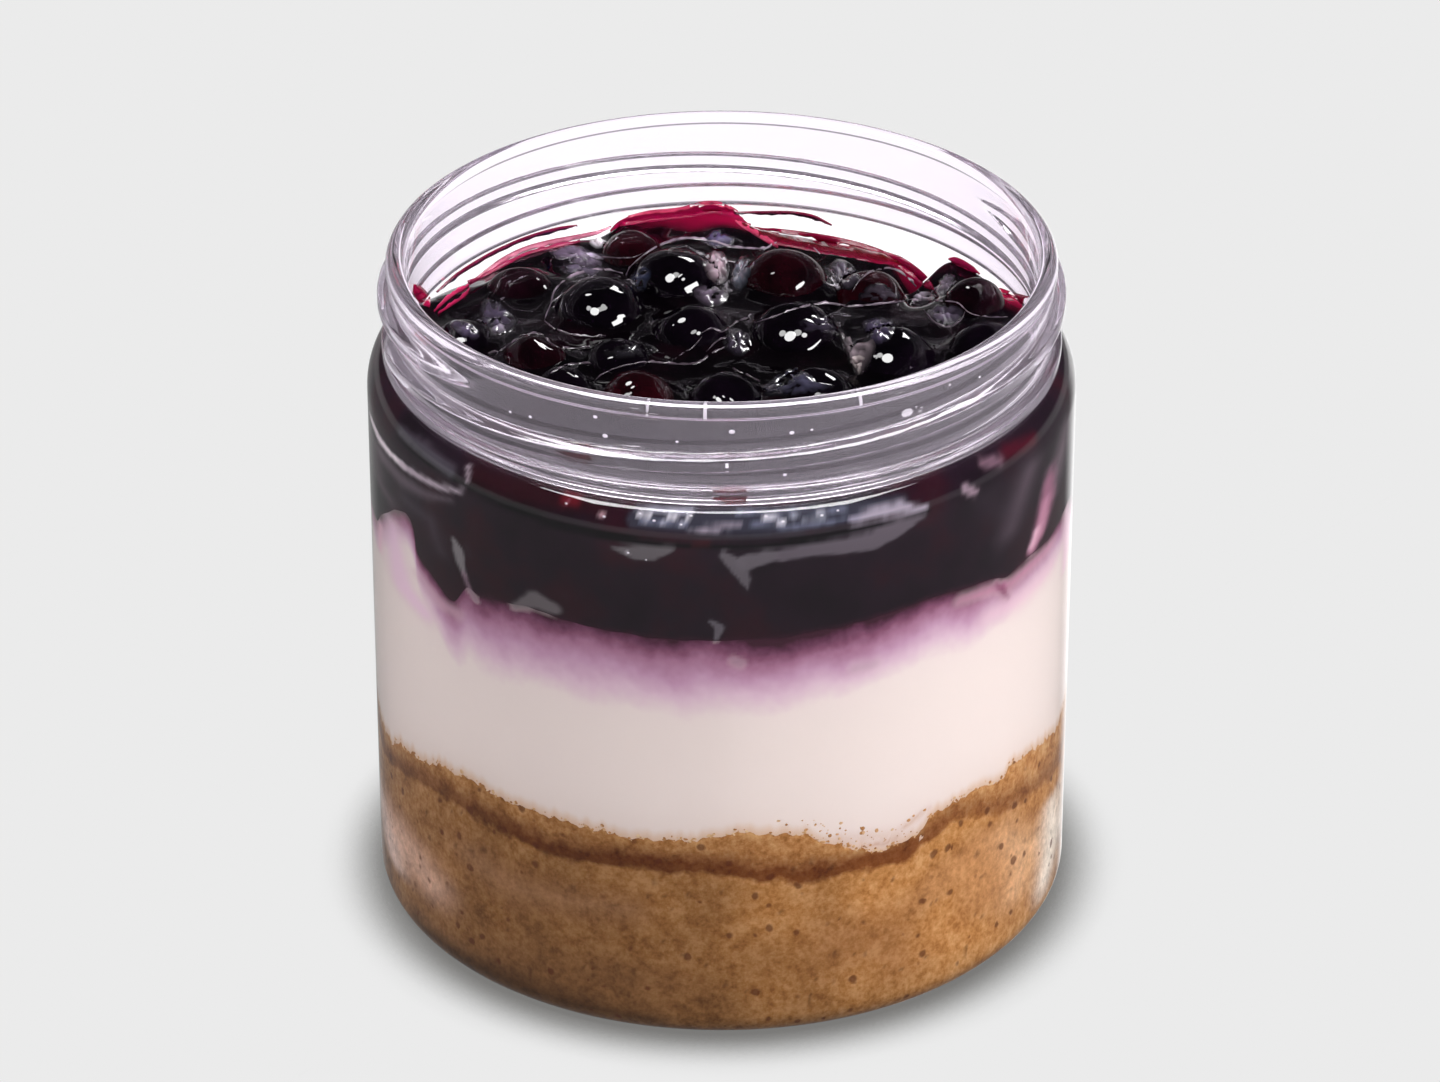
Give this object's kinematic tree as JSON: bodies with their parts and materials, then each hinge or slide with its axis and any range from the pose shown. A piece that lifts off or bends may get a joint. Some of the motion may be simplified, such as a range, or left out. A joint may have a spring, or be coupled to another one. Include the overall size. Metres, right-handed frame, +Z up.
{
  "type": "berry cheesecake cup",
  "caption": "Open clear screw-neck jar of layered cheesecake: pressed crumb base, cream layer, dark berry sauce and whole glazed berries.",
  "frame": {"origin": "centre of the plane that the jar stands on", "axes": "+Z up along the jar's axis, -Y towards the side that the picture shows, +X to the right in the picture"},
  "size_m": [0.073, 0.073, 0.072],
  "materials": {
    "clear_plastic": "clear blow-moulded bottle plastic, smooth and glossy, slightly lilac at the edges",
    "biscuit_crumb": "pressed golden brown biscuit crumb with darker specks, dry and matt",
    "cream_cheese": "smooth off-white cream, stained purple at its top by the berries",
    "dark_sauce": "thick glossy berry sauce, near black in depth and crimson where thin",
    "berry_skin": "near-black berry skin under a wet glaze"
  },
  "bodies": {
    "root": {"jar": "clear_plastic", "crumb_base": "biscuit_crumb", "cream": "cream_cheese", "berry_sauce": "dark_sauce", "berry_01": "berry_skin", "berry_02": "berry_skin", "berry_03": "berry_skin", "berry_04": "berry_skin", "berry_05": "berry_skin", "berry_06": "berry_skin", "berry_07": "berry_skin", "berry_08": "berry_skin", "berry_09": "berry_skin", "berry_10": "berry_skin", "berry_11": "berry_skin", "berry_12": "berry_skin", "berry_13": "berry_skin", "berry_14": "berry_skin", "berry_15": "berry_skin", "berry_16": "berry_skin", "berry_17": "berry_skin", "berry_18": "berry_skin", "berry_19": "berry_skin", "berry_20": "berry_skin", "berry_21": "berry_skin", "berry_22": "berry_skin", "berry_23": "berry_skin", "berry_24": "berry_skin", "berry_25": "berry_skin", "berry_26": "berry_skin", "berry_27": "berry_skin", "berry_28": "berry_skin", "berry_29": "berry_skin"}
  },
  "joints": []
}
